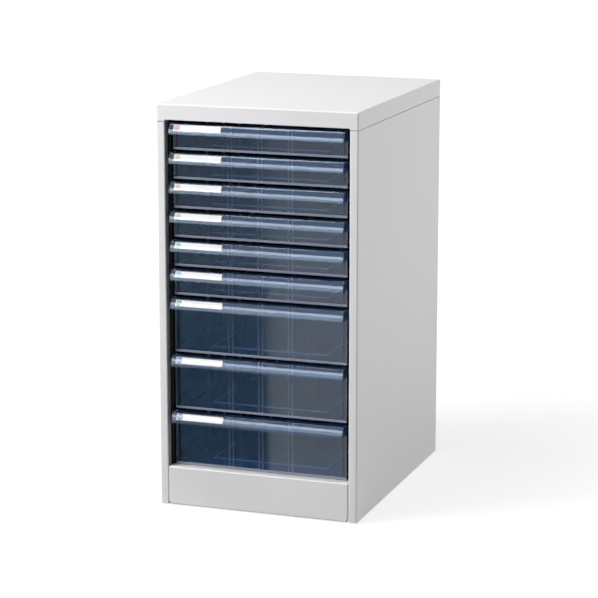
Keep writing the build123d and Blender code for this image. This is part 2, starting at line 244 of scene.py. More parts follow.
def feed(tree, node, **values):
    """Sets a node's inputs: from an output, from a node's first output or to a plain value."""
    for key, value in values.items():
        socket = node.inputs[int(key[1:])] if key[1:].isdigit() else node.inputs[key.replace("_", " ")]
        if isinstance(value, bpy.types.Node):
            value = value.outputs[0]
        if isinstance(value, bpy.types.NodeSocket):
            tree.links.new(value, socket)
        else:
            socket.default_value = value
    return node


def fed(tree, kind, **values):
    """A new node with its inputs set."""
    return feed(tree, add_node(tree, kind), **values)


def sockets(group, inputs, outputs):
    """Names a node group's inputs and outputs and returns the inputs and the end node."""
    for name, (kind, default) in inputs.items():
        made = group.interface.new_socket(name, in_out="INPUT", socket_type="NodeSocket" + kind)
        if default is not None:
            made.default_value = default
    for name, kind in outputs.items():
        group.interface.new_socket(name, in_out="OUTPUT", socket_type="NodeSocket" + kind)
    return group.nodes.new("NodeGroupInput").outputs, group.nodes.new("NodeGroupOutput")


def maths(tree, operation, first, second=0.5, third=0.0):
    node = add_node(tree, "ShaderNodeMath", operation=operation)
    return feed(tree, node, _0=first, _1=second, _2=third)


def ranged(tree, value, low, high, to_low, to_high):
    """VALUE taken from one range to another, and held inside it."""
    return fed(tree, "ShaderNodeMapRange", Value=value, From_Min=low, From_Max=high, To_Min=to_low,
               To_Max=to_high)


def mixed(tree, amount, first, second):
    node = add_node(tree, "ShaderNodeMix", data_type="RGBA")
    return feed(tree, node, _0=amount, _6=first, _7=second).outputs[2]


def noise(tree, coordinate, scale, detail=2.0, roughness=0.5):
    return fed(tree, "ShaderNodeTexNoise", Vector=coordinate, Scale=scale, Detail=detail,
               Roughness=roughness)


def object_place(tree):
    return add_node(tree, "ShaderNodeTexCoord").outputs["Object"]


def far_out(tree, vector):
    """How far a place is from the middle."""
    node = add_node(tree, "ShaderNodeVectorMath", operation="LENGTH")
    return feed(tree, node, _0=vector).outputs["Value"]


def bumped(tree, height, strength, distance):
    return fed(tree, "ShaderNodeBump", Height=height, Strength=strength, Distance=distance)


def shared_group(fill, kind="ShaderNodeTree"):
    """The node group whose nodes FILL makes. It has FILL's name, and is made once."""
    if fill.__name__ not in bpy.data.node_groups:
        fill(bpy.data.node_groups.new(fill.__name__, kind))
    return bpy.data.node_groups[fill.__name__]


def place_group(tree, fill, **values):
    """The outputs of a new node that holds a shared group."""
    node = add_node(tree, "ShaderNodeGroup", node_tree=shared_group(fill))
    return feed(tree, node, **values).outputs


def rgba(colour, share=1.0):
    """A colour, or SHARE of it, with full alpha."""
    return (*[min(1.0, c * share) for c in colour], 1.0)


# Surface effects that several finishes share

def powder_coat(group):
    """Orange peel of a powder coat: a height, and a slow and faint change of tone."""
    start, end = sockets(group, {"Grain": ("Float", 0.001)}, {"Height": "Float", "Tone": "Float"})
    place = object_place(group)
    scale = maths(group, "DIVIDE", 1.0, start["Grain"])
    coarse = noise(group, place, scale, 1.5, 0.45)
    fine = noise(group, place, maths(group, "MULTIPLY", scale, 3.7), 1.0, 0.5)
    height = maths(group, "MULTIPLY_ADD", fine, 0.3, coarse)
    slow = noise(group, place, 5.5, 3.0, 0.55)
    tone = maths(group, "MULTIPLY_ADD", coarse, 0.12, ranged(group, slow, 0.3, 0.7, 0.0, 1.0))
    feed(group, end, Height=height, Tone=tone)


def hair_scuffs(group):
    """Hair scuffs and faint smears, as handling leaves them on plastic and plated steel."""
    start, end = sockets(group, {"Size": ("Float", 0.01), "Turn": ("Float", 0.0)},
                         {"Scuff": "Float", "Smear": "Float"})
    place = object_place(group)
    spin = add_node(group, "ShaderNodeVectorRotate", rotation_type="Y_AXIS")
    feed(group, spin, Vector=place, Angle=start["Turn"])
    stretch = add_node(group, "ShaderNodeVectorMath", operation="MULTIPLY")
    feed(group, stretch, _0=spin, _1=(0.06, 1.0, 1.0))
    scale = maths(group, "DIVIDE", 1.0, start["Size"])
    hairs = noise(group, stretch, maths(group, "MULTIPLY", scale, 12.0), 2.0, 0.6)
    scuff = ranged(group, hairs, 0.60, 0.74, 0.0, 1.0)
    smear = ranged(group, noise(group, place, scale, 3.0, 0.6), 0.35, 0.75, 0.0, 1.0)
    feed(group, end, Scuff=scuff, Smear=smear)


# Finishes

def new_finish(name):
    """An empty material and its nodes."""
    material = bpy.data.materials.new(name)
    material.use_nodes = True
    material.node_tree.nodes.clear()
    return material, material.node_tree


def completed(material, shader):
    """The material, with SHADER on its surface."""
    fed(material.node_tree, "ShaderNodeOutputMaterial", Surface=shader)
    return material


def scuffed_finish(name, size, turn):
    """A finish with hair scuffs of a SIZE, turned by TURN."""
    material, tree = new_finish(name)
    return material, tree, place_group(tree, hair_scuffs, Size=size, Turn=turn)


def principled(tree, **values):
    return fed(tree, "ShaderNodeBsdfPrincipled", **values)


def painted_steel(name, base, roughness, grain, depth, gloss=0.5):
    """Powder-coated sheet steel."""
    material, tree = new_finish(name)
    powder = place_group(tree, powder_coat, Grain=grain)
    tone = powder["Tone"]
    shader = principled(
        tree, Base_Color=mixed(tree, tone, rgba(base, 0.975), rgba(base, 1.02)), IOR=1.5,
        Roughness=ranged(tree, tone, 0.0, 1.0, roughness - 0.03, roughness + 0.05),
        Normal=bumped(tree, powder["Height"], 0.35, depth), Specular_IOR_Level=gloss)
    return completed(material, shader)


def lamp_light_passes(tree, shader, tint):
    """Lets lamp light through a clear piece, tinted, instead of leaving a black shadow.

    Rays that leave matt things pass in the same way, so that no lamp lights them twice."""
    clear = fed(tree, "ShaderNodeBsdfTransparent", Color=tint)
    path = add_node(tree, "ShaderNodeLightPath")
    for ray in ("Is Diffuse Ray", "Is Shadow Ray"):
        shader = fed(tree, "ShaderNodeMixShader", _0=path.outputs[ray], _1=shader, _2=clear)
    return shader


def smoky_plastic(settings):
    """Clear smoke-blue moulded plastic, a little scuffed."""
    material, tree, scuffs = scuffed_finish("smoke_blue_plastic", 0.03, 0.4)
    tone = mixed(tree, scuffs["Smear"], rgba(settings.tint), rgba(settings.tint, 0.94))
    rough = maths(tree, "MULTIPLY_ADD", scuffs["Smear"], 0.05, settings.roughness)
    shader = principled(
        tree, Base_Color=tone, Transmission_Weight=0.985, IOR=1.57,
        Roughness=maths(tree, "MULTIPLY_ADD", scuffs["Scuff"], 0.08, rough),
        Normal=bumped(tree, scuffs["Scuff"], 0.04, 0.0001))
    return completed(material, lamp_light_passes(tree, shader, rgba(settings.lamp_tint)))


def frosted_plastic(name, settings, base):
    """The same plastic where it is rough from the mould and scatters light."""
    material, tree, scuffs = scuffed_finish(name, 0.006, 0.7)
    tone = mixed(tree, scuffs["Smear"], rgba(base), rgba(base, 0.8))
    shader = principled(
        tree, Base_Color=tone, Transmission_Weight=0.30, IOR=1.57,
        Roughness=maths(tree, "MULTIPLY_ADD", scuffs["Scuff"], 0.10, 0.28),
        Normal=bumped(tree, scuffs["Smear"], 0.15, 0.00005))
    return completed(material, lamp_light_passes(tree, shader, rgba(settings.lamp_tint)))


def clear_plastic():
    """The thin clear window over an index card."""
    material, tree, scuffs = scuffed_finish("clear_window_plastic", 0.02, 0.1)
    tone = mixed(tree, scuffs["Smear"], (0.97, 0.98, 0.99, 1), (0.93, 0.95, 0.97, 1))
    shader = principled(
        tree, Base_Color=tone, Transmission_Weight=1.0, IOR=1.45,
        Roughness=maths(tree, "MULTIPLY_ADD", scuffs["Scuff"], 0.06, 0.03))
    return completed(material, lamp_light_passes(tree, shader, (0.98, 0.98, 0.99, 1)))


def card_paper(settings):
    """White card with a coloured spot, whose colour is the piece's own attribute."""
    material, tree = new_finish("index_card_paper")
    away = far_out(tree, add_node(tree, "ShaderNodeUVMap", uv_map="card_face"))
    edge = settings.spot / 2
    inside = ranged(tree, away, edge - SPOT_BLUR, edge + SPOT_BLUR, 1.0, 0.0)
    spot = add_node(tree, "ShaderNodeAttribute", attribute_name="spot_colour")
    fibre = noise(tree, object_place(tree), 1400.0, 3.0, 0.6)
    paper = mixed(tree, fibre, rgba(settings.paper, 0.97), rgba(settings.paper))
    shader = principled(
        tree, Base_Color=mixed(tree, inside, paper, spot), IOR=1.45,
        Roughness=ranged(tree, fibre, 0.3, 0.7, 0.62, 0.78),
        Normal=bumped(tree, fibre, 0.15, 0.00005))
    return completed(material, shader)


def printed_ink(colour):
    """The number on a spot."""
    material, tree = new_finish("printed_ink")
    patchy = noise(tree, object_place(tree), 2600.0, 2.0, 0.6)
    shader = principled(
        tree, Base_Color=mixed(tree, patchy, rgba(colour), rgba(colour, 1.25)),
        Roughness=ranged(tree, patchy, 0.3, 0.7, 0.5, 0.65))
    return completed(material, shader)


def plated_steel(base):
    """Zinc-plated screws."""
    material, tree, scuffs = scuffed_finish("zinc_plate", 0.004, 0.9)
    shader = principled(
        tree, Metallic=1.0,
        Base_Color=mixed(tree, scuffs["Smear"], rgba(base), rgba(base, 0.85)),
        Roughness=maths(tree, "MULTIPLY_ADD", scuffs["Scuff"], 0.15, 0.30),
        Normal=bumped(tree, scuffs["Scuff"], 0.2, 0.00003))
    return completed(material, shader)


def glide_plastic(base):
    """Tough matt plastic of the glides."""
    material, tree, scuffs = scuffed_finish("glide_plastic", 0.005, 0.3)
    worn = rgba([c + 0.03 for c in base])
    shader = principled(
        tree, Base_Color=mixed(tree, scuffs["Scuff"], rgba(base), worn),
        Roughness=maths(tree, "MULTIPLY_ADD", scuffs["Smear"], 0.12, 0.5),
        Normal=bumped(tree, scuffs["Smear"], 0.2, 0.00005))
    return completed(material, shader)


# Mesh helpers

def linked(name, data):
    """A new object in the scene."""
    holder = bpy.data.objects.new(name, data)
    bpy.context.scene.collection.objects.link(holder)
    return holder


def made_mesh(name, points, faces, outward=False):
    """A mesh from its points and faces, with the faces turned outwards where that is asked for."""
    mesh = bpy.data.meshes.new(name)
    mesh.from_pydata([tuple(p) for p in points], [], faces)
    mesh.validate()
    if outward:
        work = bmesh.new()
        work.from_mesh(mesh)
        bmesh.ops.recalc_face_normals(work, faces=work.faces)
        work.to_mesh(mesh)
        work.free()
    return mesh


def block(name, low, high):
    """A closed box between two corners."""
    points = [(x, y, z) for z in (low[2], high[2]) for y in (low[1], high[1]) for x in (low[0], high[0])]
    faces = [(0, 2, 3, 1), (4, 5, 7, 6), (0, 1, 5, 4), (2, 6, 7, 3), (0, 4, 6, 2), (1, 3, 7, 5)]
    return made_mesh(name, points, faces)


def prism(name, section, x0, x1):
    """A closed (y, z) section drawn out along X."""
    count = len(section)
    points = [(x, y, z) for x in (x0, x1) for y, z in section]
    faces = [tuple(range(count)), tuple(range(2 * count - 1, count - 1, -1))]
    faces += [(i, i + count, (i + 1) % count + count, (i + 1) % count) for i in range(count)]
    return made_mesh(name, points, faces, outward=True)


def joined(name, meshes):
    """One mesh from several that don't touch."""
    work = bmesh.new()
    for mesh in meshes:
        work.from_mesh(mesh)
    result = bpy.data.meshes.new(name)
    work.to_mesh(result)
    work.free()
    for mesh in meshes:
        bpy.data.meshes.remove(mesh)
    return result


def settled(holder, name):
    """The plain mesh that an object gives, with its modifiers. The object goes."""
    bpy.context.view_layer.update()
    view = bpy.context.evaluated_depsgraph_get()
    mesh = bpy.data.meshes.new_from_object(holder.evaluated_get(view), preserve_all_data_layers=True,
                                           depsgraph=view)
    mesh.name = name
    old = holder.data
    bpy.data.objects.remove(holder)
    bpy.data.batch_remove([old])
    return mesh


def modified(mesh, kind, **settings):
    """A mesh as a modifier changes it."""
    holder = linked(mesh.name, mesh)
    with_settings(holder.modifiers.new("change", kind), **settings)
    return settled(holder, mesh.name)


def rounded(mesh, width, segments=2, angle=40):
    """A mesh with its sharp edges rounded."""
    return modified(mesh, "BEVEL", width=width, segments=segments, limit_method="ANGLE",
                    angle_limit=math.radians(angle))


def carved(mesh, other, operation):
    """A mesh with another added or cut away."""
    tool = linked(other.name, other)
    result = modified(mesh, "BOOLEAN", operation=operation, solver="EXACT", object=tool)
    bpy.data.objects.remove(tool)
    bpy.data.meshes.remove(other)
    if not result.polygons:
        raise RuntimeError(f"{result.name} came out empty")
    return result


def smoothed(mesh, degrees=34):
    """Smooth faces with sharp edges, and normals that keep the flat faces flat."""
    mesh.shade_smooth()
    mesh.set_sharp_from_angle(angle=math.radians(degrees))
    return modified(mesh, "WEIGHTED_NORMAL", keep_sharp=True, weight=100)


def coated(mesh, coats, index=0):
    """Gives a mesh several finishes, with all its faces in one of them."""
    mesh.materials.clear()
    for coat in coats:
        mesh.materials.append(coat)
    mesh.polygons.foreach_set("material_index", [index] * len(mesh.polygons))
    return mesh


def finished(name, mesh, material, body, nodes=()):
    """A finished piece on its body, in place of the named CAD nodes."""
    piece = linked(name, mesh)
    mesh.name = name
    if material is not None:
        mesh.materials.clear()
        mesh.materials.append(material)
    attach(piece, body)
    if nodes:
        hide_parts(*nodes)
    return piece


def dressed(nodes, material):
    """Gives CAD nodes a finish."""
    for node in nodes:
        for slot in frame["nodes"][node].material_slots:
            slot.material = material


# Rows of like things, by geometry nodes

def row_of_copies(tree):
    """Copies of a mesh in a straight row."""
    start, end = sockets(tree, {"Geometry": ("Geometry", None), "Count": ("Int", 2),
                                "Start": ("Vector", None), "Step": ("Vector", None),
                                "Material": ("Material", None)}, {"Geometry": "Geometry"})
    line = add_node(tree, "GeometryNodeMeshLine", mode="OFFSET")
    feed(tree, line, Count=start["Count"], Start_Location=start["Start"],
         Offset=start["Step"])
    copies = fed(tree, "GeometryNodeInstanceOnPoints", Points=line, Instance=start["Geometry"])
    real = fed(tree, "GeometryNodeRealizeInstances", Geometry=copies)
    coat = fed(tree, "GeometryNodeSetMaterial", Geometry=real, Material=start["Material"])
    feed(tree, end, Geometry=coat)


def row(mesh, count, start, step, material):
    """COUNT copies of a mesh, from START on, one STEP apart."""
    holder = linked(mesh.name, mesh)
    tree = shared_group(row_of_copies, "GeometryNodeTree")
    modifier = holder.modifiers.new("row", "NODES")
    modifier.node_group = tree
    values = {"Count": count, "Start": list(start), "Step": list(step), "Material": material}
    for item in tree.interface.items_tree:
        if item.name in values:
            modifier[item.identifier] = values[item.name]
    return settled(holder, mesh.name)


# Trays

def ring(half, y0, y1, radius, z, steps=6):
    """A level loop round a rectangle with rounded corners."""
    radius = max(radius, HAIR)
    loop = []
    for cx, cy, first in ((half - radius, y1 - radius, 0), (radius - half, y1 - radius, 90),
                          (radius - half, y0 + radius, 180), (half - radius, y0 + radius, 270)):
        for n in range(steps + 1):
            angle = math.radians(first + 90 * n / steps)
            loop.append((cx + radius * math.cos(angle), cy + radius * math.sin(angle), z))
    return loop


def arc(cx, cz, radius, first, last, steps=4):
    """Points on an arc in a wall's section."""
    turns = [math.radians(first + (last - first) * n / steps) for n in range(steps + 1)]
    return [(cx + radius * math.cos(t), cz + radius * math.sin(t)) for t in turns]


def shell_mesh(s, half, front, depth, height):
    """Floor and walls with a rim: level loops stacked along the wall's section.

    A section point is (how far in from the outside of the wall, height)."""
    heel, hollow, edge = s.heel, s.hollow_heel, s.edge
    under = height - s.rim_thickness
    section = arc(heel, heel, heel, 270, 180)
    section += [(0.0, s.side_band), (0.0, under)]
    section += arc(edge - s.rim_width, under + edge, edge, 270, 180, 2)
    section += arc(edge - s.rim_width, height - edge, edge, 180, 90, 2)
    section += arc(s.wall - edge, height - edge, edge, 90, 0, 2)
    section += arc(s.wall + hollow, s.wall + hollow, hollow, 180, 270, 6)
    loops = [ring(half - i, front + i, depth - i, s.corner - i, z) for i, z in section]
    count = len(loops[0])
    points = [p for loop in loops for p in loop]
    faces = [tuple(range(count - 1, -1, -1))]
    for level in range(len(loops) - 1):
        a, b = level * count, (level + 1) * count
        faces += [(a + i, a + (i + 1) % count, b + (i + 1) % count, b + i) for i in range(count)]
    last = (len(loops) - 1) * count
    faces.append(tuple(range(last, last + count)))
    return made_mesh("tray_shell", points, faces, outward=True)


def lip_centre(s, height):
    """The middle of the face's curve, in section."""
    return s.lip_radius * math.cos(s.lip_lean) - s.lip_ledge, height - s.lip_radius * math.sin(s.lip_lean)


def low_lean(s):
    """How far the face still leans back at its lower edge."""
    return math.asin(math.sin(s.lip_lean) - s.lip_height / s.lip_radius)


def lip_reach(s):
    """How far the lip stands out from the front wall."""
    return s.lip_radius * (math.cos(low_lean(s)) - math.cos(s.lip_lean)) + s.lip_ledge


def on_face(s, height, lean, offset):
    """The point in section where the face leans back by LEAN, OFFSET outside it."""
    y, z = lip_centre(s, height)
    return y - (s.lip_radius + offset) * math.cos(lean), z + (s.lip_radius + offset) * math.sin(lean)


def face_curve(s, height, offset, first, last, steps):
    return [on_face(s, height, first + (last - first) * n / steps, offset) for n in range(steps + 1)]


def buried(s):
    """How deep a shape reaches into the wall that it is moulded to."""
    return s.wall / 2


def label_lean(s, c, down):
    """The face's lean, DOWN along it from the top of the label pocket."""
    return s.lip_lean - (c.top_gap + down) / s.lip_radius


def pocket_height(c):
    return c.card_height + 2 * (c.rim + c.play)


def pocket_depth(c):
    return c.card_thickness + c.window_thickness + 2 * c.play


def label_band(s, c, height, outside, inside, end_gap, edge_gap, steps=20):
    """A curved strip in the label pocket."""
    first, last = label_lean(s, c, edge_gap), label_lean(s, c, pocket_height(c) - edge_gap)
    section = face_curve(s, height, outside, first, last, steps)
    section += reversed(face_curve(s, height, inside, first, last, steps))
    x0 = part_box("tray_1")[0][0] + c.inset
    x1 = x0 + c.card + 2 * (c.edge + c.play)
    return prism("label_band", section, x0 + end_gap, x1 - end_gap)


def front_mesh(s, height, half, coats):
    """The front wall, wider than the tray, frosted along its bottom and at its ends."""
    section = [(0, 0), (s.wall, 0), (s.wall, height), (0, height), (0, s.edge_band)]
    mesh = coated(rounded(prism("front", section, -half, half), s.edge, 3), coats)
    for face in mesh.polygons:
        if face.center.z < s.edge_band or abs(face.center.x) > half - s.edge:
            face.material_index = 2
    return mesh


def lip_mesh(s, c, height, half):
    """The finger lip, hollow below, with the label pocket cut into its face."""
    foot, back = height - s.lip_height, buried(s)
    y, z = lip_centre(s, height)
    inner_radius = s.lip_radius - s.lip_corner
    corner_lean = math.asin((height - s.lip_corner - z) / inner_radius)
    outside = arc(y - inner_radius * math.cos(corner_lean), height - s.lip_corner, s.lip_corner, 90,
                  180 - math.degrees(corner_lean), 8)
    outside += face_curve(s, height, 0.0, corner_lean, low_lean(s), 18)[1:]
    outside += [(back, foot), (back, height)]
    solid = rounded(prism("lip", outside, -half, half), s.edge, 3)
    top_lean = math.asin((height - s.wall - z) / (s.lip_radius - s.wall))
    inner = face_curve(s, height, -s.wall, top_lean, 0.0, 18)
    below = inner[-1][1]
    inner += [(back + s.edge, below), (back + s.edge, height - s.wall)]
    solid = carved(solid, prism("hollow", inner, s.wall - half, half - s.wall), "DIFFERENCE")
    pocket = label_band(s, c, height, 2 * c.window_thickness, -pocket_depth(c), 0.0, 0.0)
    return carved(solid, pocket, "DIFFERENCE")


def rib_meshes(s, half, depth, height, material):
    """Divider ribs in pairs, one pair to a slot, each wall's pairs in one row."""
    low, high = buried(s), height - s.rib_top_gap
    outer, inner = buried(s), s.wall + s.rib_reach
    spans = {"front": ((outer, inner), True), "rear": ((depth - inner, depth - outer), True),
             "left": ((outer - half, inner - half), False), "right": ((half - inner, half - outer), False)}
    rows = []
    for name, (span, across) in spans.items():
        pitch = s.slot_across if across else s.slot_along
        pair = []
        for side in (-1, 1):
            a = side * s.rib_spacing / 2 - s.rib_width / 2
            b = a + s.rib_width
            if across:
                pair.append(block(name, (a, span[0], low), (b, span[1], high)))
            else:
                pair.append(block(name, (span[0], a, low), (span[1], b, high)))
        one = rounded(joined(name, pair), s.rib_width * RIB_ROUNDING)
        first = -(s.slots - 1) / 2 * pitch
        start = (first, 0, 0) if across else (0, depth / 2 + first, 0)
        step = (pitch, 0, 0) if across else (0, pitch, 0)
        rows.append(row(one, s.slots, start, step, material))
    return joined("ribs", rows)


def bead_mesh(s, half, depth):
    """A low raised frame on the floor."""
    x1, y0, y1 = half - s.wall - s.bead_side, s.wall + s.bead_end, depth - s.wall - s.bead_end
    low, top, side = buried(s), s.wall + s.bead_height, s.bead_width
    outside = [(-x1, y0), (x1, y0), (x1, y1), (-x1, y1)]
    inside = [(side - x1, y0 + side), (x1 - side, y0 + side),
              (x1 - side, y1 - side), (side - x1, y1 - side)]
    points = [(x, y, z) for z in (low, top) for loop in (outside, inside) for x, y in loop]
    faces = []
    for i in range(4):
        j = (i + 1) % 4
        faces += [(i, j, j + 8, i + 8), (j + 4, i + 4, i + 12, j + 12), (i + 8, j + 8, j + 12, i + 12),
                  (j, i, i + 4, j + 4)]
    mesh = made_mesh("bead", points, faces, outward=True)
    return rounded(mesh, s.bead_height * BEAD_ROUNDING)


def lug_mesh(s, number, top):
    """The two stop lugs under the floor, where the CAD tray has them."""
    lugs = [block("lug", (x0, y0, -s.lug_height), (x1, y1, top)) for x0, x1, y0, y1 in lug_places(number)]
    return rounded(joined("lugs", lugs), LUG_ROUNDING)


def lug_places(number):
    """Footprints of the stop lugs, read from the lowest corners of the CAD tray."""
    node = frame["nodes"][f"tray_{number}"]
    lowest_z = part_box(f"tray_{number}")[0][2]
    lowest = [v.co for v in node.data.vertices if v.co.z < lowest_z + 0.1 * MM]
    places = []
    for side in (-1, 1):
        xs = [p.x for p in lowest if p.x * side > 0]
        ys = [p.y for p in lowest if p.x * side > 0]
        places.append((min(xs), max(xs), min(ys), max(ys)))
    return places


def tray_mesh(s, c, number, coats):
    """The whole tray, its front wall's outside at y = 0 and its underside at z = 0."""
    low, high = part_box(f"tray_{number}")
    front_half = (high[0] - low[0]) / 2
    front = low[1] + lip_reach(s)
    bottom = low[2] + s.lug_height
    height = high[2] - bottom
    depth = high[1] - front - s.rim_width
    half = wall_half(number, bottom + height / 2)
    tucked = s.wall * 0.15  # the shell starts behind the face of the front wall
    mesh = coated(shell_mesh(s, half, tucked, depth, height), coats)
    for face in mesh.polygons:
        x, y, z = face.center
        if z < s.side_band and max(abs(x) - half, y - depth) > -s.heel:
            face.material_index = 1
    lugs = coated(lug_mesh(s, number, buried(s)), coats)
    lugs.transform(Matrix.Translation((0, -front, 0)))
    for part in (front_mesh(s, height, front_half, coats),
                 coated(lip_mesh(s, c, height, front_half), coats),
                 coated(rib_meshes(s, half, depth, height, coats[1]), coats, 1),
                 coated(bead_mesh(s, half, depth), coats, 1), lugs):
        mesh = carved(mesh, part, "UNION")
    return smoothed(mesh)


def wall_half(number, z):
    """Half the width over the side walls of the CAD tray, at a height between its floor and its rim."""
    node = frame["nodes"][f"tray_{number}"]
    low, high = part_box(f"tray_{number}")
    rear_part = 0.15
    rear = high[1] - rear_part * (high[1] - low[1])
    widest = 0.0
    for edge in node.data.edges:
        a, b = (node.data.vertices[i].co for i in edge.vertices)
        if min(a.z, b.z) < z < max(a.z, b.z) and max(a.y, b.y) > rear:
            widest = max(widest, abs(a.x + (b.x - a.x) * (z - a.z) / (b.z - a.z)))
    return widest


def tray_place(s, number):
    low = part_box(f"tray_{number}")[0]
    return Vector((0, low[1] + lip_reach(s), low[2] + s.lug_height))


def tray_height(s, number):
    low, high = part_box(f"tray_{number}")
    return high[2] - low[2] - s.lug_height


def in_tray(s, number, mesh):
    """Moves a mesh that was made about a tray's front to that tray."""
    mesh.transform(Matrix.Translation(tray_place(s, number)))
    return mesh


class TRAY_CABINET_OT_trays(Operator):
    """Moulds the trays, each with its lip, rim, divider ribs, floor bead and stop lugs"""
    bl_idname = "tray_cabinet.trays"
    bl_label = "Trays"

    def execute(self, context):
        s, c = context.scene.tray_settings, context.scene.card_settings
        coats = (smoky_plastic(s), frosted_plastic("smoke_blue_ribs", s, s.rib_colour),
                 frosted_plastic("smoke_blue_edges", s, s.edge_colour))
        kinds = {}
        for number in TRAYS:
            key = round(tray_height(s, number), 5)
            if key not in kinds:
                kinds[key] = tray_mesh(s, c, number, coats)
            mesh = in_tray(s, number, kinds[key].copy())
            finished(f"tray_{number}_moulding", mesh, None, f"tray_{number}_body",
                     [f"tray_{number}"])
        for mesh in kinds.values():
            bpy.data.meshes.remove(mesh)
        return {"FINISHED"}


# Index cards and windows

def on_lip(s, c, height, x, up, offset):
    """The point on the lip's face at X, UP from the pocket's middle along it, OFFSET outside it."""
    y, z = on_face(s, height, label_lean(s, c, pocket_height(c) / 2 - up), offset)
    return Vector((x, y, z))


def spot_middle(c):
    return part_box("tray_1")[0][0] + c.inset + c.edge + c.play + c.spot / 2 + SPOT_INSET


def card_mesh(s, c, height, spot):
    """A card with a face map in metres about the spot's middle, and its spot's colour."""
    low = c.play - pocket_depth(c)
    mesh = label_band(s, c, height, low + c.card_thickness, low, c.edge + c.play, c.rim + c.play)
    face = mesh.uv_layers.new(name="card_face")
    tint = mesh.color_attributes.new("spot_colour", "FLOAT_COLOR", "POINT")
    for vertex in tint.data:
        vertex.color = rgba(spot)
    centre_y, centre_z = lip_centre(s, height)
    middle = label_lean(s, c, pocket_height(c) / 2)
    x0 = spot_middle(c)
    for loop in mesh.loops:
        x, y, z = mesh.vertices[loop.vertex_index].co
        lean = math.atan2(z - centre_z, centre_y - y)
        face.data[loop.index].uv = (x - x0, (lean - middle) * s.lip_radius)
    return mesh


def digit_mesh(s, c, height, number):
    """A plain number that lies on the card."""
    words = with_settings(bpy.data.curves.new("digit", "FONT"), body=str(number), resolution_u=4,
                          size=c.digit / DIGIT_SHARE, align_x="CENTER", align_y="CENTER")
    mesh = settled(linked("words", words), "digit")
    work = bmesh.new()
    work.from_mesh(mesh)
    for step in range(-DIGIT_CUTS, DIGIT_CUTS + 1):
        bmesh.ops.bisect_plane(work, geom=work.verts[:] + work.edges[:] + work.faces[:], dist=1e-7,
                               plane_co=(0, step * DIGIT_STRIP, 0), plane_no=(0, 1, 0))
    printed = c.play - pocket_depth(c) + c.card_thickness + HAIR
    for vertex in work.verts:
        x, up, _ = vertex.co
        vertex.co = on_lip(s, c, height, spot_middle(c) + x, up, printed)
    work.to_mesh(mesh)
    work.free()
    return mesh


class TRAY_CABINET_OT_cards(Operator):
    """Makes the index cards, each with a coloured spot and a plain number"""
    bl_idname = "tray_cabinet.cards"
    bl_label = "Index Cards"

    def execute(self, context):
        s, c = context.scene.tray_settings, context.scene.card_settings
        paper, ink = card_paper(c), printed_ink(c.ink)
        for number in TRAYS:
            height, body = tray_height(s, number), f"tray_{number}_body"
            card = smoothed(card_mesh(s, c, height, getattr(c, f"spot_{number}")))
            finished(f"card_{number}", in_tray(s, number, card), paper, body,
                     [f"index_card_{number}"])
            digit = in_tray(s, number, digit_mesh(s, c, height, number))
            finished(f"card_{number}_digit", digit, ink, body)
        return {"FINISHED"}


class TRAY_CABINET_OT_windows(Operator):
    """Makes the clear windows over the index cards"""
    bl_idname = "tray_cabinet.windows"
    bl_label = "Label Windows"

    def execute(self, context):
        s, c = context.scene.tray_settings, context.scene.card_settings
        clear = clear_plastic()
        for number in TRAYS:
            mesh = label_band(s, c, tray_height(s, number), 0.0, -c.window_thickness, c.play, c.play)
            finished(f"window_{number}", in_tray(s, number, smoothed(mesh)), clear,
                     f"tray_{number}_body", [f"label_window_{number}"])
        return {"FINISHED"}


# Case

class TRAY_CABINET_OT_case(Operator):
    """Powder-coats the folded sheets of the case"""
    bl_idname = "tray_cabinet.case"
    bl_label = "Case"

    def execute(self, context):
        s = context.scene.case_settings
        dressed(CASE_SHEETS, painted_steel("light_grey_powder_coat", s.paint, s.paint_roughness, s.grain,
                                           0.00012))
        return {"FINISHED"}


class TRAY_CABINET_OT_runners(Operator):
    """Paints the slotted posts and the runners near-black: their own paint, with the shade inside the case
    painted in
    """
    bl_idname = "tray_cabinet.runners"
    bl_label = "Posts and Runners"

    def execute(self, context):
        s = context.scene.case_settings
        # Near-black paint that also stands in for the shade inside the case.
        black = painted_steel("black_powder_coat", s.frame_paint, 0.6, s.grain, 0.00008, 0.2)
        runners = [f"{side}_runner_{n}" for n in TRAYS for side in ("left", "right")]
        dressed((*POSTS, *runners), black)
        return {"FINISHED"}


def spun(name, profile, steps=28):
    """A closed round shape about Z from a (radius, z) profile that starts and ends on the axis."""
    points, faces = [(0, 0, profile[0][1]), (0, 0, profile[-1][1])], []
    for radius, z in profile[1:-1]:
        for n in range(steps):
            turn = 2 * math.pi * n / steps
            points.append((radius * math.cos(turn), radius * math.sin(turn), z))
    rings = len(profile) - 2
    for n in range(steps):
        m = (n + 1) % steps
        faces.append((0, 2 + m, 2 + n))
        for level in range(rings - 1):
            a, b = 2 + level * steps, 2 + (level + 1) * steps
            faces.append((a + n, a + m, b + m, b + n))
        top = 2 + (rings - 1) * steps
        faces.append((1, top + n, top + m))
    return made_mesh(name, points, faces, outward=True)


def screw_mesh(head, depth, shank, reach):
    """Pan head with a cross recess, its seat at z = 0 and its thread along +Z."""
    profile = [(0, -depth), (head * 0.45, -depth), (head * 0.78, -depth * 0.88),
               (head * 0.95, -depth * 0.55), (head, -depth * 0.2), (head, 0)]
    turns, lead, plain = 6, 0.3 * MM, 1.2 * MM
    pitch = (reach - plain) / turns
    for n in range(turns):
        z = lead + n * pitch
        profile += [(shank * 0.84, z), (shank, z + pitch * 0.5), (shank * 0.84, z + pitch * 0.98)]
    profile += [(shank * 0.45, reach), (0, reach)]
    mesh = spun("screw", profile)
    for wide in (True, False):
        x, y = (head * 0.55, head * 0.13) if wide else (head * 0.13, head * 0.55)
        mesh = carved(mesh, block("recess", (-x, -y, -2 * depth), (x, y, -depth * 0.45)), "DIFFERENCE")
    return mesh


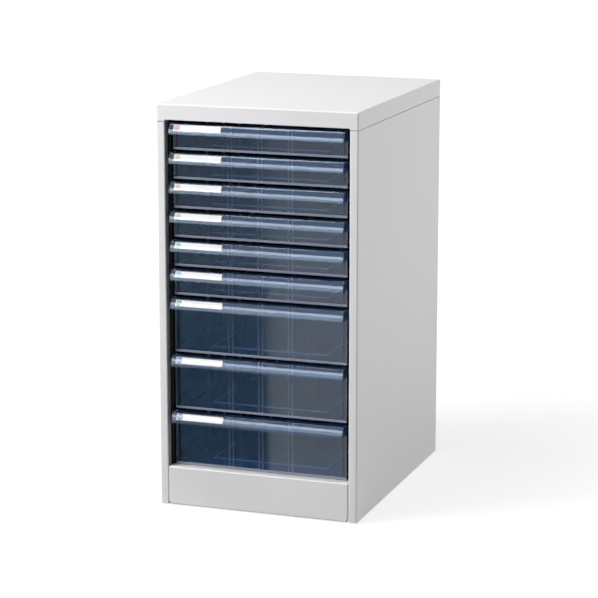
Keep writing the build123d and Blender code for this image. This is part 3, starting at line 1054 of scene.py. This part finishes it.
def screw_rows(node, axis, material, turn):
    """Two rows of screws where a CAD node has its screws: along AXIS, one on each side."""
    solids = loose_groups(node)
    shape = screw_mesh(**SCREW)
    shape.transform(turn)
    along = axis_normal(turn)
    low = min(v.co[along] for v in shape.vertices)
    meshes = []
    for side in (-1, 1):
        places = sorted((p for p in solids if p[0] * side > 0), key=lambda p: p[axis])
        step = [0.0, 0.0, 0.0]
        step[axis] = (places[-1][axis] - places[0][axis]) / (len(places) - 1)
        start = list(places[0])
        start[along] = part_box(node)[0][along] - low
        meshes.append(row(shape.copy(), len(places), start, step, material))
    bpy.data.meshes.remove(shape)
    return smoothed(joined(node, meshes))


def axis_normal(turn):
    """Which axis the turned screw points along."""
    way = turn.to_3x3() @ Vector((0, 0, 1))
    return max(range(3), key=lambda i: abs(way[i]))


def loose_groups(node):
    """The middle of each separate solid in a CAD node."""
    work = bmesh.new()
    work.from_mesh(frame["nodes"][node].data)
    bmesh.ops.remove_doubles(work, verts=work.verts, dist=1e-6)
    todo, middles = set(work.verts), []
    while todo:
        stack, group = [todo.pop()], []
        while stack:
            vertex = stack.pop()
            group.append(vertex.co.copy())
            for edge in vertex.link_edges:
                other = edge.other_vert(vertex)
                if other in todo:
                    todo.remove(other)
                    stack.append(other)
        middles.append([(min(axis) + max(axis)) / 2 for axis in zip(*group)])
    work.free()
    return middles


class TRAY_CABINET_OT_screws(Operator):
    """Makes the cross-head screws of the cap and of the back panel"""
    bl_idname = "tray_cabinet.screws"
    bl_label = "Screws"

    def execute(self, context):
        zinc = plated_steel(context.scene.case_settings.plating)
        cap = screw_rows("cap_screws", 1, zinc, Matrix.Identity(4))
        finished("cap_screw_rows", cap, None, "case", ["cap_screws"])
        back = screw_rows("back_panel_screws", 2, zinc, Matrix.Rotation(math.radians(90), 4, "X"))
        finished("back_screw_rows", back, None, "case", ["back_panel_screws"])
        return {"FINISHED"}


class TRAY_CABINET_OT_glides(Operator):
    """Finishes the plastic glides under the case"""
    bl_idname = "tray_cabinet.glides"
    bl_label = "Glides"

    def execute(self, context):
        dressed(["corner_glides"], glide_plastic(context.scene.case_settings.glide))
        return {"FINISHED"}


# Stage

def seen_rays(tree):
    """1 for rays from the camera and in gloss or glass, and 0 for the light that falls on things.

    Light that falls on things through a clear piece counts as falling light too."""
    path = add_node(tree, "ShaderNodeLightPath")
    seen = maths(tree, "MAXIMUM", path.outputs["Is Camera Ray"], path.outputs["Is Glossy Ray"])
    seen = maths(tree, "MAXIMUM", seen, path.outputs["Is Transmission Ray"])
    return maths(tree, "MULTIPLY", seen, maths(tree, "LESS_THAN", path.outputs["Diffuse Depth"], 0.5))


def floor_finish():
    """White floor that keeps a soft shadow near the cabinet."""
    material, tree = new_finish("white_floor")
    place = object_place(tree)
    tone = mixed(tree, noise(tree, place, 3.0), (0.30, 0.30, 0.30, 1), (0.32, 0.32, 0.32, 1))
    matt = fed(tree, "ShaderNodeBsdfDiffuse", Color=tone)
    glow = fed(tree, "ShaderNodeEmission", Strength=ranged(tree, far_out(tree, place), 0.7, 2.4, 0.76, 1.0))
    both = fed(tree, "ShaderNodeAddShader", _0=matt, _1=glow)
    return completed(material, fed(tree, "ShaderNodeMixShader", _0=seen_rays(tree), _1=matt, _2=both))


def white_world(ambient):
    world = bpy.data.worlds.new("studio")
    world.use_nodes = True
    tree = world.node_tree
    tree.nodes.clear()
    back = fed(tree, "ShaderNodeBackground", Color=(1, 1, 1, 1),
               Strength=ranged(tree, seen_rays(tree), 0.0, 1.0, ambient, 1.0))
    fed(tree, "ShaderNodeOutputWorld", Surface=back)
    bpy.context.scene.world = world


def aimed(name, data, place, aim):
    """A lamp or a camera at PLACE that looks at AIM."""
    holder = linked(name, data)
    holder.location = place
    holder.rotation_euler = (Vector(aim) - Vector(place)).to_track_quat("-Z", "Y").to_euler()
    return holder


def lamp(name, watts, place, width, depth):
    light = with_settings(bpy.data.lights.new(name, "AREA"), energy=watts, shape="RECTANGLE",
                          size=width, size_y=depth)
    aimed(name, light, place, LAMP_AIM)


def shade_finish():
    """A painted reflection: a glow that is dark near the cabinet and paler farther off."""
    material, tree = new_finish("floor_shade")
    place = object_place(tree)
    away = fed(tree, "ShaderNodeSeparateXYZ", Vector=place).outputs["Y"]
    uneven = maths(tree, "MULTIPLY_ADD", noise(tree, place, 2.0), 0.4, away)
    return completed(material, fed(tree, "ShaderNodeEmission",
                                   Strength=ranged(tree, uneven, -2.2, -1.2, 0.36, 0.02)))


def dark_mat(s):
    """A painted reflection: a glowing sheet on the floor at the front left, which only gloss shows.

    It takes the floor's glare off the left half of the trays."""
    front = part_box("tray_1")[0][1] + lip_reach(bpy.context.scene.tray_settings)
    eye = Vector(s.eye)
    slope = (s.mat_edge - eye.x) / (front - eye.y)
    near, far = -s.mat_start, -s.mat_end
    right = [(s.mat_edge + slope * (front - y), y) for y in (near, far)]
    points = [(*right[0], MM), (*right[1], MM), (right[1][0] - s.mat_width, far, MM),
              (right[0][0] - s.mat_width, near, MM)]
    mesh = made_mesh("dark_mat", points, [(0, 3, 2, 1)])
    mesh.materials.append(shade_finish())
    mat = linked("dark_mat", mesh)
    # Hidden from the camera, from falling light and from shadows, so that it is only a painted reflection.
    mat.visible_camera = mat.visible_diffuse = mat.visible_transmission = mat.visible_shadow = False


class TRAY_CABINET_OT_stage(Operator):
    """Sets the floor, the soft lamps, the white surroundings and the camera"""
    bl_idname = "tray_cabinet.stage"
    bl_label = "Stage"

    def execute(self, context):
        s = context.scene.stage_settings
        half = s.floor / 2
        corners = [(-half, -half, 0), (half, -half, 0), (half, half, 0), (-half, half, 0)]
        ground = made_mesh("floor", corners, [(0, 1, 2, 3)])
        ground.materials.append(floor_finish())
        floor = linked("floor", ground)
        white_world(s.ambient)
        for name, (place, width, depth) in LAMPS.items():
            lamp(name, getattr(s, name), place, width, depth)
        # A painted reflection that darkens the left half of the trays' fronts.
        dark_mat(s)
        camera = with_settings(bpy.data.cameras.new("camera"), lens=s.lens, sensor_width=36.0,
                               clip_end=60.0)
        context.scene.camera = aimed("camera", camera, s.eye, s.aim)
        context.scene.view_settings.view_transform = "Standard"
        return {"FINISHED"}


class TRAY_CABINET_PT_sidebar(Panel):
    """Lists the steps and their settings"""
    bl_idname = "TRAY_CABINET_PT_sidebar"
    bl_label = "Tray Cabinet"
    bl_space_type = "VIEW_3D"
    bl_region_type = "UI"
    bl_category = "Tray Cabinet"

    def draw(self, context):
        for name, operators in STEPS.items():
            box = self.layout.box()
            for operator in operators:
                box.operator(operator.bl_idname)
            settings = getattr(context.scene, name)
            for key in settings.__annotations__:
                box.prop(settings, key)


SETTINGS = {
    "case_settings": CaseSettings,
    "tray_settings": TraySettings,
    "card_settings": CardSettings,
    "stage_settings": StageSettings,
}
STEPS = {
    "case_settings": (TRAY_CABINET_OT_case, TRAY_CABINET_OT_runners, TRAY_CABINET_OT_screws,
                      TRAY_CABINET_OT_glides),
    "tray_settings": (TRAY_CABINET_OT_trays,),
    "card_settings": (TRAY_CABINET_OT_cards, TRAY_CABINET_OT_windows),
    "stage_settings": (TRAY_CABINET_OT_stage,),
}


OPERATORS = [operator for operators in STEPS.values() for operator in operators]
CLASSES = (*SETTINGS.values(), *OPERATORS, TRAY_CABINET_PT_sidebar)


def register():
    for kind in CLASSES:
        bpy.utils.register_class(kind)
    for name, settings in SETTINGS.items():
        setattr(bpy.types.Scene, name, PointerProperty(type=settings))


def unregister():
    for name in SETTINGS:
        delattr(bpy.types.Scene, name)
    for kind in reversed(CLASSES):
        bpy.utils.unregister_class(kind)


def main():
    register()
    bpy.ops.tray_cabinet.case()
    bpy.ops.tray_cabinet.runners()
    bpy.ops.tray_cabinet.screws()
    bpy.ops.tray_cabinet.glides()
    bpy.ops.tray_cabinet.trays()
    bpy.ops.tray_cabinet.cards()
    bpy.ops.tray_cabinet.windows()
    bpy.ops.tray_cabinet.stage()


if __name__ == "__main__":
    main()
